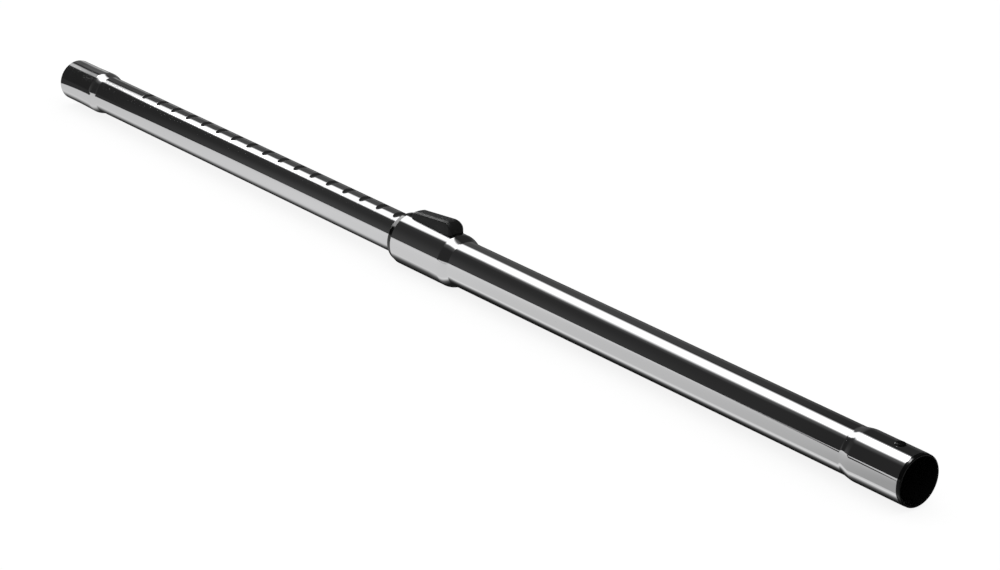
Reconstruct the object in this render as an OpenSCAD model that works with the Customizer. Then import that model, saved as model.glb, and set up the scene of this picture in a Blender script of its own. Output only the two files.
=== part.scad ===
// Telescopic vacuum extension wand, fully extended and lying on its collar.
// The wand runs along X. The handle socket is at +X, the tool end at -X, the thumb slider on top (+Z).
// Stations are distances from the rim of the handle socket towards the tool end.

/* [Whole wand] */
// Length from the rim of the handle socket to the tip of the tool end, extended
extended_len = 1000; // [900:5:1100]

/* [Steel tubes] */
// Outside diameter of the outer tube
outer_od = 36; // [35.6:0.1:37]
// Outside diameter of the inner tube
inner_od = 32; // [31:0.1:32.4]
// Thickness of both steel walls
wall = 0.6; // [0.5:0.05:0.8]

/* [Handle socket] */
// Outside diameter of the widened socket
socket_od = 38.7; // [38:0.1:40]
// Station where the socket starts to narrow
socket_end = 47.4; // [42:0.2:60]
// Length of the narrowing
socket_blend = 9.6; // [8:0.2:16]
// Length of the liner's rim in front of the steel
rim_len = 3; // [2:0.1:5]
// Bore of the liner, which takes the handle's tube
liner_bore = 35.2; // [34.6:0.1:35.8]
// Depth of the bore from the rim to the stop
liner_depth = 43; // [36:0.5:44]
// Bore of the stop lip at the bottom of the liner
stop_bore = 33; // [32:0.1:34]
// Station of the round snap nub
nub_station = 20; // [14:0.5:30]
// Diameter of the snap nub
nub_d = 8; // [5:0.1:10]
// Height of the nub's dome above the steel
nub_rise = 1.6; // [0.8:0.1:2.5]

/* [Collar] */
// Outside diameter of the collar
collar_od = 42; // [41.4:0.1:44]
// Station of the collar's steel edge
mouth_station = 533.6; // [520:0.1:550]
// Length of the collar's straight part
collar_len = 56; // [55.5:0.5:70]
// Length of the widening from the outer tube to the collar
collar_blend = 10; // [8:0.5:24]
// Width of the slot in the collar, under the slider
slot_w = 12; // [11.4:0.1:12.6]
// Length of the slot from the steel edge
slot_len = 48.5; // [47:0.5:50]

/* [Guide bush] */
// Length of the bush's rim in front of the steel
bush_rim_len = 5.5; // [3:0.5:8]
// Thickness of the bush's skin between its ribs
bush_skin = 1.5; // [1:0.1:1.8]
// Number of ribs around the skin
bush_ribs = 9; // [3:2:13]
// Step of the moulded rims below the steel
rim_step = 0.15; // [0.1:0.05:0.3]
// Length of the rubber seal
seal_len = 4; // [3.2:0.1:5]
// Height of the rubber seal above the inner tube
seal_t = 1.6; // [1.4:0.1:1.8]

/* [Notch rack] */
// Distance from one notch to the next
notch_pitch = 21.4; // [18:0.1:25]
// Number of notches
notch_count = 19; // [8:1:19]
// Depth of a notch
notch_depth = 1.62; // [1.3:0.02:1.8]
// Radius of the punch that presses a notch
notch_r = 4.5; // [4.1:0.1:6]
// Distance from the collar's steel edge back to the lock
lock_back = 28.3; // [27.8:0.1:30.5]

/* [Tool end] */
// Diameter of the cylindrical lead at the tip
tool_od = 35; // [34.4:0.1:35.4]
// Diameter at the root of the taper
tool_root_od = 36; // [35.6:0.1:36.4]
// Length of the cylindrical lead
tool_land = 22; // [15:0.5:30]
// Length of the taper
tool_taper = 21; // [15:0.5:30]
// Length of the shoulder from the inner tube to the taper
tool_blend = 9; // [8:0.5:16]

/* [Hidden end of the inner tube] */
// Gap from the guide bush back to the glide shells, fully extended
stop_gap = 1; // [0.5:0.1:3]
// Length of the glide shells
glide_len = 26; // [20:0.5:30]
// Length of the raised band at each end of a shell
band_len = 5; // [3:0.5:8]
// Diameter of the pegs that hold the shells
peg_d = 4; // [3:0.1:5]

/* [Thumb slider] */
// Width at the thumb face
thumb_w = 15.2; // [14:0.1:16]
// Width at the nose
nose_w = 12.6; // [12:0.1:13]
// Height of the crest above the cam plate
crest_h = 4.65; // [3.8:0.05:6]
// Drop of the top from the crest to its front end
brow_drop = 3.6; // [2.5:0.1:4]
// Thickness of the moulded shell
shell_t = 1.2; // [0.8:0.1:1.3]
// Travel of the slider towards the tool end
slide_travel = 6; // [4:0.5:6]

/* [Lock] */
// Rise of the lock block over the full travel
lock_rise = 2; // [1.9:0.05:2.2]
// Thickness of the lock block along the wand
block_t = 6.4; // [5:0.1:7]
// Width of the lock block across the wand
block_w = 7.2; // [5.5:0.1:7.3]
// Diameter of the cross pin
pin_d = 2.5; // [1.8:0.1:2.8]
// Thickness of the cam plate
plate_t = 1; // [0.8:0.1:1.1]

/* [Return springs] */
// Mean diameter of the coils
coil_d = 2.6; // [2:0.1:2.8]
// Diameter of the wire
wire_d = 0.4; // [0.3:0.05:0.5]
// Number of turns
coil_turns = 6; // [4:1:8]

/* [Hidden] */
$fn = 96;

// Gaps of pieces that slide, that sit still and that are pressed in, and a cutter's reach past a face
running = 0.1;
seat = 0.05;
press = 0.02;
over = 1;

// Radii about the wand's axis
outer_r = outer_od / 2;
inner_r = inner_od / 2;
socket_r = socket_od / 2;
collar_r = collar_od / 2;
bush_r = collar_r - wall - running;
bush_bore = inner_r + running;
skin_r = bush_bore + bush_skin;
liner_r = socket_r - wall - seat;
glide_r = outer_r - wall - running;
glide_bore = inner_r + seat;
seal_r = inner_r + seal_t;
axis_z = collar_r;

// Places along the wand
function along(station) = extended_len / 2 - station;
tip_x = along(extended_len);
root_x = tip_x + tool_land + tool_taper;
mouth_x = along(mouth_station);
lock_x = mouth_x + lock_back;
collar_start_x = mouth_x + collar_len;
bush_tail_x = collar_start_x - 0.8;
seal_x = bush_tail_x - seal_len;
bed_back = bush_tail_x - 4;
glide_front = bush_tail_x + stop_gap;
glide_back = glide_front + glide_len;
peg_x = (glide_front + glide_back) / 2;
tail_x = glide_back + 0.5;

// Levels of the mechanism above the axis, shared out of the room between bush bore and collar
room = bush_r - bush_bore;
groove_z = bush_bore + room * 0.11;
foot_gap = room * 0.08;
foot_t = room * 0.19;
foot_z = groove_z + foot_gap;
pin_z = foot_z + 2.7;
slot_r = pin_d / 2 + running;
web_z = pin_z + lock_rise + slot_r + 1.5;
boss_z = web_z + plate_t + seat;
crest_z = web_z + plate_t + crest_h;
brow_z = crest_z - brow_drop;
block_top = pin_z + 2.4;
chimney_top = block_top + 0.6;
nose_r = block_t / 2;
nose_z = inner_r - notch_depth + running;

// Widths of the mechanism, from the middle outwards
block_half = block_w / 2;
pocket_gap = 0.15;
ridge_half = block_half + pocket_gap;
leg_in = block_half + 0.4;
leg_out = leg_in + plate_t;
leg_gap = 0.25;
groove_half = leg_out + leg_gap;
foot_out = leg_out + room * 0.48;
bed_half = foot_out + 2.3;
key_half = slot_w / 2 - 0.2;

// Cam plate along X
plate_back = lock_x + 10.3;
plate_front = lock_x - 6.7;
pocket_half = nose_r + pocket_gap;
chimney_half = pocket_half + 1.3;

ring_x = (plate_back + seal_x) / 2 - 1;

// Slider along X; it covers the collar's slot over its whole travel
nose_x = mouth_x + 0.8;
lug_x = nose_x + 9.4;
brow_x = lug_x + 0.3;
thumb_x = mouth_x + slot_len + slide_travel + 0.2;
crest_x = thumb_x - 8.6;
skirt_r = collar_r + 0.3;
round_r = 1.2;
rib_t = 1.5;
rib_x = plate_front - running;
stake_d = 2;
stake_edge = 2.2;
stake_stations = [plate_front + stake_edge, plate_back - stake_edge];
boss_half = 1.6;

// Return springs
spring_r = (coil_d + wire_d) / 2;
spring_y = 2.4;
spring_z = pin_z + 2.65;
rib_low = spring_z - spring_r - running;
lug_t = 2;
lug_top = spring_z + 1;
lug_half = spring_y + spring_r;

// A solid turned about the wand's axis; each point is [x, radius]
module turned(points) {
  translate([0, 0, axis_z])
    rotate([0, 90, 0])
      rotate_extrude()
        polygon([for (p = points) [p[1], p[0]]]);
}

// A box from its two corners, measured from the wand's axis
module span(low, high) {
  translate([low[0], low[1], axis_z + low[2]])
    cube([high[0] - low[0], high[1] - low[1], high[2] - low[2]]);
}

// A round bar across the wand, at a height above the axis
module cross_bar(x, z, r, half) {
  translate([x, half, axis_z + z])
    rotate([90, 0, 0])
      cylinder(r = r, h = 2 * half);
}

function reversed(list) = [for (i = [len(list) - 1:-1:0]) list[i]];

// Flare from a thin tube to a thick one: a crease at the thin end, smooth into the thick end
flare_steps = 8;
function flare(thin_x, thin_r, thick_x, thick_r) = [for (i = [0:flare_steps])
  [thin_x + (thick_x - thin_x) * i / flare_steps,
    thin_r + (thick_r - thin_r) * sin(90 * i / flare_steps)]];

// Outline of the outer tube's wall, moved inwards by an offset
function outer_line(inset) = concat(
  [[along(rim_len), socket_r - inset]],
  reversed(flare(along(socket_end + socket_blend), outer_r - inset,
    along(socket_end), socket_r - inset)),
  flare(collar_start_x + collar_blend, outer_r - inset, collar_start_x, collar_r - inset),
  [[mouth_x, collar_r - inset]]);

nub_gap = 0.3;
module outer_tube() color([0.78, 0.78, 0.80]) {
  difference() {
    turned(concat(outer_line(0), reversed(outer_line(wall))));
    collar_slot();
    translate([along(nub_station), 0, axis_z])
      cylinder(d = nub_d + 2 * nub_gap, h = socket_r + over);
  }
}

// Slot through the top of the collar, open at the steel edge
module collar_slot() {
  slot_end = mouth_x + slot_len - slot_w / 2;
  span([mouth_x - over, -slot_w / 2, 0], [slot_end, slot_w / 2, collar_r + over]);
  translate([slot_end, 0, axis_z])
    cylinder(d = slot_w, h = collar_r + over);
}

// Outline of the inner tube's outside, from the tip to the hidden end
function inner_line(inset) = concat(
  [[tip_x, tool_od / 2 - inset], [tip_x + tool_land, tool_od / 2 - inset]],
  reversed(flare(root_x + tool_blend, inner_r - inset, root_x, tool_root_od / 2 - inset)),
  [[tail_x, inner_r - inset]]);

// Solid core under an outline, closed on the axis
module core(line, extra) {
  last = len(line) - 1;
  turned(concat([[line[0][0] - extra, 0], [line[0][0] - extra, line[0][1]]], line,
    [[line[last][0] + extra, line[last][1]], [line[last][0] + extra, 0]]));
}

// Row of pressed notches, cut by a round punch
module punches(r) {
  for (i = [0:notch_count - 1])
    cross_bar(lock_x - i * notch_pitch, inner_r - notch_depth + notch_r, r, inner_r);
}

module inner_tube() color([0.80, 0.80, 0.82]) {
  difference() {
    difference() {
      core(inner_line(0), 0);
      punches(notch_r);
    }
    difference() {
      core(inner_line(wall), over);
      punches(notch_r + wall);
    }
    cross_bar(peg_x, 0, peg_d / 2 + running, inner_r + over);
  }
}

// Half shells that glide in the outer tube, each with a raised band at both ends and a peg
module glide_shell(side) {
  waist_r = glide_r - 0.4;
  lead = 0.6;
  split = 0.4;
  intersection() {
    union() {
      turned([[glide_front, glide_bore], [glide_back, glide_bore], [glide_back, waist_r],
        [glide_back - lead, glide_r], [glide_back - band_len, glide_r],
        [glide_back - band_len - lead, waist_r], [glide_front + band_len + lead, waist_r],
        [glide_front + band_len, glide_r], [glide_front + lead, glide_r], [glide_front, waist_r]]);
      translate([peg_x, 0, axis_z])
        rotate([-90 * side, 0, 0])
          translate([0, 0, inner_r - wall])
            cylinder(d = peg_d, h = wall + lead);
    }
    span([glide_front - over, side > 0 ? split : -outer_r, -outer_r],
      [glide_back + over, side > 0 ? outer_r : -split, outer_r]);
  }
}

module glide_shell_left() color([0.12, 0.12, 0.13]) glide_shell(1);

module glide_shell_right() color([0.12, 0.12, 0.13]) glide_shell(-1);

// Liner of the handle socket, with its rim, stop lip and domed snap nub
module socket_liner() color([0.05, 0.05, 0.055]) {
  rim_x = along(0);
  rim_r = socket_r - rim_step;
  steel_x = along(rim_len) + seat;
  stop_x = along(liner_depth);
  end_x = along(socket_end) + 1;
  bore_r = liner_bore / 2;
  lead = 0.8;
  edge = 0.7;
  turned([[end_x, stop_bore / 2], [end_x, liner_r - lead / 2], [end_x + lead, liner_r],
    [steel_x, liner_r], [steel_x, rim_r], [rim_x - edge, rim_r],
    [rim_x - edge * 0.3, rim_r - edge * 0.3], [rim_x, rim_r - edge], [rim_x, bore_r + lead],
    [rim_x - lead, bore_r], [stop_x, bore_r], [stop_x, stop_bore / 2]]);
  snap_nub();
}

// Domed nub, rising through the hole in the socket's steel
module snap_nub() {
  nub_r = nub_d / 2;
  dome_r = (nub_r * nub_r + nub_rise * nub_rise) / (2 * nub_rise);
  root = 1.2;
  sink = 0.2;
  translate([along(nub_station), 0, axis_z])
    intersection() {
      translate([0, 0, liner_r - root])
        cylinder(d = nub_d, h = root + wall + nub_rise);
      translate([0, 0, socket_r - sink + nub_rise - dome_r])
        sphere(r = dome_r);
    }
}

// Moulded guide bush in the collar
module guide_bush() color([0.06, 0.06, 0.065]) {
  rim_x = mouth_x - bush_rim_len;
  lead = 1.2;
  difference() {
    union() {
      bush_body(rim_x);
      skin_ribs();
      bush_bed();
    }
    turned([[seal_x, 0], [seal_x, seal_r + seat], [bush_tail_x + over, seal_r + seat],
      [bush_tail_x + over, 0]]);
    turned([[rim_x - over, 0], [rim_x - over, bush_bore + lead + over], [rim_x + lead, bush_bore],
      [rim_x + lead, 0]]);
    lock_pocket();
    plate_grooves();
    spring_trough();
  }
}

// Turned body: the rounded rim, the front band, the thin skin with its middle ring, the tail band
module bush_body(rim_x) {
  rim_r = collar_r - rim_step;
  edge = 1.2;
  front_band = 4;
  tail_band = 5;
  ring_w = 2;
  ring_r = bush_r - 0.5;
  turned([[rim_x, bush_bore], [rim_x, rim_r - edge], [rim_x + edge * 0.3, rim_r - edge * 0.3],
    [rim_x + edge, rim_r], [mouth_x - seat, rim_r], [mouth_x - seat, bush_r],
    [mouth_x + front_band, bush_r], [mouth_x + front_band, skin_r], [ring_x, skin_r],
    [ring_x, ring_r], [ring_x + ring_w, ring_r], [ring_x + ring_w, skin_r],
    [bush_tail_x - tail_band, skin_r], [bush_tail_x - tail_band, bush_r],
    [bush_tail_x - 1, bush_r], [bush_tail_x, bush_r - 1], [bush_tail_x, bush_bore]]);
}

// Straight ribs between the bush's thin skin and the collar
module skin_ribs() {
  rib_w = 1.4;
  sunk = 0.5;
  start = 60;
  sweep = 240;
  for (i = [0:bush_ribs - 1])
    translate([0, 0, axis_z])
      rotate([start + i * sweep / (bush_ribs - 1), 0, 0])
        translate([mouth_x + 3, -rib_w / 2, skin_r - sunk])
          cube([bed_back - mouth_x - 3, rib_w, bush_r - 0.2 - skin_r + sunk]);
}

// Thick bed under the slot, with the block's chimney, the springs' lug and the key in the slot
module bush_bed() {
  bed_z = bush_bore + 0.5;
  bed_r = bush_r - seat;
  key_r = collar_r - press;
  key_len = 5;
  intersection() {
    turned([[mouth_x + 1, bush_bore], [mouth_x + 1, bed_r], [bed_back, bed_r],
      [bed_back, bush_bore]]);
    span([mouth_x, -bed_half, inner_r / 2], [bed_back + over, bed_half, collar_r]);
  }
  span([lock_x - chimney_half, -ridge_half, bed_z], [lock_x + chimney_half, ridge_half, chimney_top]);
  span([lug_x - lug_t, -lug_half, bed_z], [lug_x, lug_half, lug_top]);
  intersection() {
    span([mouth_x + seat, -key_half, bed_z], [mouth_x + key_len, key_half, collar_r + over]);
    turned([[mouth_x, 0], [mouth_x, key_r], [mouth_x + key_len + over, key_r],
      [mouth_x + key_len + over, 0]]);
  }
}

// Pocket that lets the lock block through to the inner tube
module lock_pocket() {
  span([lock_x - pocket_half, -ridge_half - over, inner_r / 2],
    [lock_x + pocket_half, ridge_half + over, chimney_top + over]);
}

// Grooves for the cam plate's legs and, below them, its feet
module plate_grooves() {
  end_gap = 0.5;
  side_gap = 0.3;
  back = plate_back + end_gap;
  front = plate_front - slide_travel - end_gap;
  foot_half = foot_out + side_gap;
  for (side = [-1, 1]) {
    span([front, side > 0 ? ridge_half : -groove_half, groove_z],
      [back, side > 0 ? groove_half : -ridge_half, collar_r + over]);
    span([front, side > 0 ? ridge_half : -foot_half, groove_z],
      [back, side > 0 ? foot_half : -ridge_half, foot_z + foot_t + foot_gap]);
  }
}

// Shallow trough in the bed, in which the springs lie and the slider's rib runs
module spring_trough() {
  trough_half = slot_w / 2;
  span([lug_x, -trough_half, rib_low - 0.8], [rib_x + running, trough_half, collar_r + over]);
}

// Rubber seal in the bush's tail, its lip wiping the inner tube
module lip_seal() color([0.10, 0.10, 0.10]) {
  front = seal_x + seat;
  back = bush_tail_x - running;
  lip_r = inner_r + seat;
  body_r = lip_r + 0.4;
  turned([[front, seal_r], [back, seal_r], [back, seal_r - 0.5], [back - 0.9, body_r + 0.2],
    [back - 0.3, lip_r + 0.1], [back - 0.5, lip_r], [back - 1, lip_r], [back - 2.2, body_r],
    [front, body_r]]);
}

// Half width of the slider at a place along X
function slider_half(x) = nose_w / 2 + (thumb_w - nose_w) / 2 * (x - nose_x) / (thumb_x - nose_x);

// Side outline of the slider, thumb face first, each point [x, height above the axis]
tuck = 3;
face_low = [2.3, 3.6];
face_top = [4.6, 1.2];
brow_front = [3, 3.2];
function slider_line(inset) = [
  [thumb_x - inset, collar_r - tuck],
  [thumb_x - face_low[0] - inset, crest_z - face_low[1] - inset * 0.5],
  [thumb_x - face_top[0] - inset * 0.6, crest_z - face_top[1] - inset],
  [crest_x, crest_z - inset],
  [brow_x, brow_z - inset],
  [nose_x + brow_front[0] + inset, brow_z - brow_front[1] - inset * 0.8],
  [nose_x + inset, collar_r - 0.2 - inset * 0.5],
  [nose_x + inset, collar_r - tuck]];

// Rounded body of the slider: one hull over balls at the outline's points
module slider_body(inset, ball) {
  hull()
    for (p = slider_line(inset + ball), side = [-1, 1])
      translate([p[0], side * (slider_half(p[0]) - inset - ball), axis_z + p[1]])
        sphere(r = ball, $fn = 32);
}

module thumb_slider() color([0.09, 0.09, 0.10]) {
  inner_ball = 0.4;
  tongue_half = slot_w / 2 - 0.4;
  difference() {
    slider_body(0, round_r);
    difference() {
      slider_body(shell_t, inner_ball);
      span([rib_x - rib_t, -thumb_w, rib_low], [rib_x, thumb_w, crest_z]);
      for (x = stake_stations)
        span([x - boss_half, -thumb_w, boss_z], [x + boss_half, thumb_w, crest_z]);
    }
    turned([[nose_x - over, 0], [nose_x - over, skirt_r], [thumb_x + over, skirt_r],
      [thumb_x + over, 0]]);
    thumb_hollow();
  }
  span([rib_x - rib_t, -tongue_half, rib_low], [rib_x, tongue_half, skirt_r + over]);
  for (x = stake_stations)
    translate([x, 0, axis_z + web_z])
      cylinder(d = stake_d, h = boss_z - web_z + over / 2);
}

// Shallow hollow in the thumb face
module thumb_hollow() {
  hollow_r = 26;
  bite = 2.4;
  tip_back = 20;
  level = collar_r + (crest_z - collar_r) * 0.42;
  cross_bar(thumb_x - bite + hollow_r * cos(tip_back), level + hollow_r * sin(tip_back),
    hollow_r, thumb_w);
}

// Pressed steel hat plate with an inclined cam slot in each leg
module cam_plate() color([0.62, 0.63, 0.65]) {
  difference() {
    translate([plate_front, 0, axis_z])
      rotate([90, 0, 90])
        linear_extrude(plate_back - plate_front)
          polygon(hat_section());
    cam_slot();
    for (x = stake_stations)
      translate([x, 0, axis_z + web_z - over])
        cylinder(d = stake_d + 2 * seat, h = plate_t + 2 * over);
  }
}

function hat_section() = [
  [leg_in, foot_z], [foot_out, foot_z], [foot_out, foot_z + foot_t], [leg_out, foot_z + foot_t],
  [leg_out, web_z + plate_t], [-leg_out, web_z + plate_t], [-leg_out, foot_z + foot_t],
  [-foot_out, foot_z + foot_t], [-foot_out, foot_z], [-leg_in, foot_z], [-leg_in, web_z], [leg_in, web_z]];

// Slot that lifts the cross pin as the plate moves towards the tool end
module cam_slot() {
  climb = atan2(lock_rise, slide_travel);
  run = norm([slide_travel, lock_rise]);
  cross_bar(lock_x, pin_z, slot_r, foot_out);
  cross_bar(lock_x + slide_travel, pin_z + lock_rise, slot_r, foot_out);
  translate([lock_x, -foot_out, axis_z + pin_z])
    rotate([0, -climb, 0])
      translate([0, 0, -slot_r])
        cube([run, 2 * foot_out, 2 * slot_r]);
}

// Die-cast block with a round nose that fits the notches
module lock_block() color([0.55, 0.56, 0.58]) {
  difference() {
    union() {
      span([lock_x - nose_r, -block_half, nose_z + nose_r], [lock_x + nose_r, block_half, block_top]);
      cross_bar(lock_x, nose_z + nose_r, nose_r, block_half);
    }
    cross_bar(lock_x, pin_z, pin_d / 2 + press, block_half + over);
  }
}

module cross_pin() color([0.70, 0.70, 0.72]) {
  cross_bar(lock_x, pin_z, pin_d / 2, leg_out - running);
}

// Round wire wound into a coil along X, between two faces
function ring_point(centre, angle, slant, r, turn) = centre + r * (
  cos(angle) * [0, cos(turn), sin(turn)]
  + sin(angle) * [cos(slant), sin(slant) * sin(turn), -sin(slant) * cos(turn)]);

module coil(x0, x1, y) {
  steps = 14 * coil_turns;
  sides = 6;
  slant = atan2(x1 - x0, PI * coil_d * coil_turns);
  points = [for (i = [0:steps])
    let (turn = 360 * coil_turns * i / steps, x = x0 + (x1 - x0) * i / steps,
      centre = [x, y + coil_d / 2 * cos(turn), axis_z + spring_z + coil_d / 2 * sin(turn)])
      for (k = [0:sides - 1])
        ring_point(centre, 360 * k / sides, slant, wire_d / 2, turn)];
  walls = [for (i = [0:steps - 1], k = [0:sides - 1])
    let (a = i * sides + k, b = i * sides + (k + 1) % sides)
      for (f = [[a, a + sides, b], [b, a + sides, b + sides]]) f];
  ends = [[for (k = [0:sides - 1]) k], [for (k = [sides - 1:-1:0]) steps * sides + k]];
  polyhedron(points, concat(walls, ends));
}

module return_spring_left() color([0.72, 0.72, 0.70])
  coil(lug_x + wire_d, rib_x - rib_t - wire_d, spring_y);

module return_spring_right() color([0.72, 0.72, 0.70])
  coil(lug_x + wire_d, rib_x - rib_t - wire_d, -spring_y);

outer_tube();
inner_tube();
guide_bush();
lip_seal();
socket_liner();
glide_shell_left();
glide_shell_right();
thumb_slider();
cam_plate();
lock_block();
cross_pin();
return_spring_left();
return_spring_right();
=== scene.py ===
# %% [markdown]
# # A chromed telescopic vacuum wand
#
# The object is an extension wand for a vacuum cleaner: a thick chromed tube that ends in a handle
# socket, a thinner chromed tube that slides in it, and a black thumb slider that frees the lock.
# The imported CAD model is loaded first. It is the frame: every piece made here is in metres and
# sits where the CAD piece sits, so nothing has to be fitted by eye.

import math

import bmesh
import bpy
from mathutils import Matrix, Vector


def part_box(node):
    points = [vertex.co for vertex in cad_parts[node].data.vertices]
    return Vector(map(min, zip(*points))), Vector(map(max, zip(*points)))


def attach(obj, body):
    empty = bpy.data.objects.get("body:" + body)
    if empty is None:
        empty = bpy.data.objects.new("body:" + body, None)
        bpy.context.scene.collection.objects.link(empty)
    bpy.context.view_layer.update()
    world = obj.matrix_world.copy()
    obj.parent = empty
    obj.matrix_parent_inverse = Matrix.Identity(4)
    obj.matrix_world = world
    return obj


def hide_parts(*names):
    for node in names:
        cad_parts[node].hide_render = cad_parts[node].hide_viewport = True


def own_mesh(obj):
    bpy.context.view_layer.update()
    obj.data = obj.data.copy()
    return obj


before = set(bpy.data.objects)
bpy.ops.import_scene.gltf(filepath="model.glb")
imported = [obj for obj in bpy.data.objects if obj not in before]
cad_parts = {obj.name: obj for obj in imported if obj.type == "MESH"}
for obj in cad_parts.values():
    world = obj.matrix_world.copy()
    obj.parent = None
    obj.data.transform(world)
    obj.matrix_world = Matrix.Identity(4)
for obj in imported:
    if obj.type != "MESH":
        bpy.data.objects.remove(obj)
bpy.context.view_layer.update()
scene = bpy.context.scene

# %% [markdown]
# The two steel tubes are bodies of revolution, so their sizes are radii at places along X.
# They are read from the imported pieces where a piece's own box gives them, and the rest are the
# sizes of the drawing. Everything is written in millimetres here and turned into metres once.

# %% Sizes of the wand, in millimetres
MM = 0.001


def box_mm(node):
    low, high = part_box(node)
    return [value / MM for value in low], [value / MM for value in high]


outer_low, outer_high = box_mm("outer_tube")
inner_low, inner_high = box_mm("inner_tube")
AXIS_Z = 21.0
WALL = 0.6
MOUTH_X = outer_low[0]
SOCKET_X = outer_high[0]
TIP_X = inner_low[0]
TAIL_X = inner_high[0]
COLLAR_R, OUTER_R, SOCKET_R, INNER_R = 21.0, 18.0, 19.35, 16.0
TOOL_R, TOOL_ROOT_R = 17.5, 18.0
NOTCH_PITCH, NOTCH_COUNT = 21.4, 19
NOTCH_DEPTH, PUNCH_R = 1.62, 4.5
LOCK_X = -5.3
print("collar mouth", round(MOUTH_X, 1), "socket", round(SOCKET_X, 1), "tip", round(TIP_X, 1))

# %% [markdown]
# A tube is a grid: rows along X, columns around the axis. A helper joins such rows of points into
# faces, so every turned piece is made in the same way. The wall is closed by running the rows out
# along the outside and back along the inside, as a lathe drawing of the section would.

# %% Helpers: grids, objects and shading
def ring(x, radius, angles):
    return [(x * MM, -radius * math.sin(a) * MM, (AXIS_Z + radius * math.cos(a)) * MM)
            for a in angles]


def evenly(count):
    return [2 * math.pi * k / count for k in range(count)]


def grid_mesh(name, rings, close_ends):
    """Faces between neighbouring rings; close_ends also joins the last ring to the first."""
    mesh = bpy.data.meshes.new(name)
    columns = len(rings[0])
    points = [point for one in rings for point in one]
    rows = len(rings)
    faces = []
    for i in range(rows if close_ends else rows - 1):
        a, b = i * columns, ((i + 1) % rows) * columns
        for k in range(columns):
            n = (k + 1) % columns
            faces.append((a + k, a + n, b + n, b + k))
    mesh.from_pydata(points, [], faces)
    mesh.update()
    return mesh


def new_object(name, mesh):
    obj = bpy.data.objects.new(name, mesh)
    scene.collection.objects.link(obj)
    return obj


def turn_outward(mesh):
    work = bmesh.new()
    work.from_mesh(mesh)
    bmesh.ops.remove_doubles(work, verts=work.verts, dist=1e-6)
    bmesh.ops.recalc_face_normals(work, faces=work.faces)
    work.to_mesh(mesh)
    work.free()


def evaluated_mesh(obj, name):
    graph = bpy.context.evaluated_depsgraph_get()
    made = bpy.data.meshes.new_from_object(obj.evaluated_get(graph), depsgraph=graph)
    made.name = name
    return made


def shaded_object(name, mesh, sharp_above, flats_first=True):
    """Smooth shading that keeps flats flat, and crisp edges where a face turns by more degrees."""
    mesh.shade_smooth()
    mesh.set_sharp_from_angle(angle=math.radians(sharp_above))
    obj = new_object(name, mesh)
    if not flats_first:
        return obj
    step = obj.modifiers.new("flat_faces_first", "WEIGHTED_NORMAL")
    step.mode = "FACE_AREA"
    step.keep_sharp = True
    made = evaluated_mesh(obj, name)
    obj.modifiers.clear()
    obj.data = made
    return obj


def cut(mesh, cutters, name):
    """The mesh less each cutter, with clean exact cuts."""
    body = new_object("cut_body", mesh)
    for cutter in cutters:
        step = body.modifiers.new("cut", "BOOLEAN")
        step.operation = "DIFFERENCE"
        step.solver = "EXACT"
        step.object = cutter
    made = evaluated_mesh(body, name)
    for used in [body, *cutters]:
        bpy.data.objects.remove(used)
    return made


def cylinder_cutter(name, centre, axis, radius, length, sides=96):
    work = bmesh.new()
    bmesh.ops.create_cone(work, cap_ends=True, segments=sides, radius1=radius * MM,
                          radius2=radius * MM, depth=length * MM)
    turn = Vector((0, 0, 1)).rotation_difference(Vector(axis)).to_matrix().to_4x4()
    place = Matrix.Translation(Vector(centre) * MM) @ turn
    bmesh.ops.transform(work, matrix=place, verts=work.verts)
    mesh = bpy.data.meshes.new(name)
    work.to_mesh(mesh)
    work.free()
    return new_object(name, mesh)


def triangles(mesh):
    return sum(len(face.vertices) - 2 for face in mesh.polygons)


# %% [markdown]
# Bright chrome on drawn steel tube is a mirror with a memory of how it was made. The tube was
# drawn and then polished, so very fine lines run along it, and handling leaves faint wipe marks
# that change the gloss a little. The colour stays almost neutral. Roughness and a very small bump
# carry these marks, because on a mirror any stronger pattern would read as dirt.

# %% Material: bright chrome
def material(name):
    made = bpy.data.materials.new(name)
    made.use_nodes = True
    nodes, links = made.node_tree.nodes, made.node_tree.links
    return made, nodes, links, nodes["Principled BSDF"]


def object_pattern(nodes, links, stretch, scale, detail=2.0):
    """Noise on the piece's own coordinates, stretched by a factor along each axis."""
    place = nodes.new("ShaderNodeTexCoord")
    turn = nodes.new("ShaderNodeMapping")
    turn.inputs["Scale"].default_value = stretch
    noise = nodes.new("ShaderNodeTexNoise")
    noise.inputs["Scale"].default_value = scale
    noise.inputs["Detail"].default_value = detail
    links.new(place.outputs["Object"], turn.inputs["Vector"])
    links.new(turn.outputs["Vector"], noise.inputs["Vector"])
    return noise.outputs["Fac"]


def spread(nodes, links, value, low, high, source=(0.3, 0.7)):
    """The pattern's usual range, spread over a range of the shader's input."""
    step = nodes.new("ShaderNodeMapRange")
    step.inputs["From Min"].default_value, step.inputs["From Max"].default_value = source
    step.inputs["To Min"].default_value, step.inputs["To Max"].default_value = low, high
    links.new(value, step.inputs["Value"])
    return step.outputs["Result"]


def tint(nodes, links, value, dark, light):
    ramp = nodes.new("ShaderNodeValToRGB")
    ramp.color_ramp.elements[0].position, ramp.color_ramp.elements[1].position = 0.3, 0.7
    ramp.color_ramp.elements[0].color = (*dark, 1)
    ramp.color_ramp.elements[1].color = (*light, 1)
    links.new(value, ramp.inputs["Fac"])
    return ramp.outputs["Color"]


def bump(nodes, links, shader, value, strength, depth):
    step = nodes.new("ShaderNodeBump")
    step.inputs["Strength"].default_value = strength
    step.inputs["Distance"].default_value = depth
    links.new(value, step.inputs["Height"])
    links.new(step.outputs["Normal"], shader.inputs["Normal"])


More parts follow.
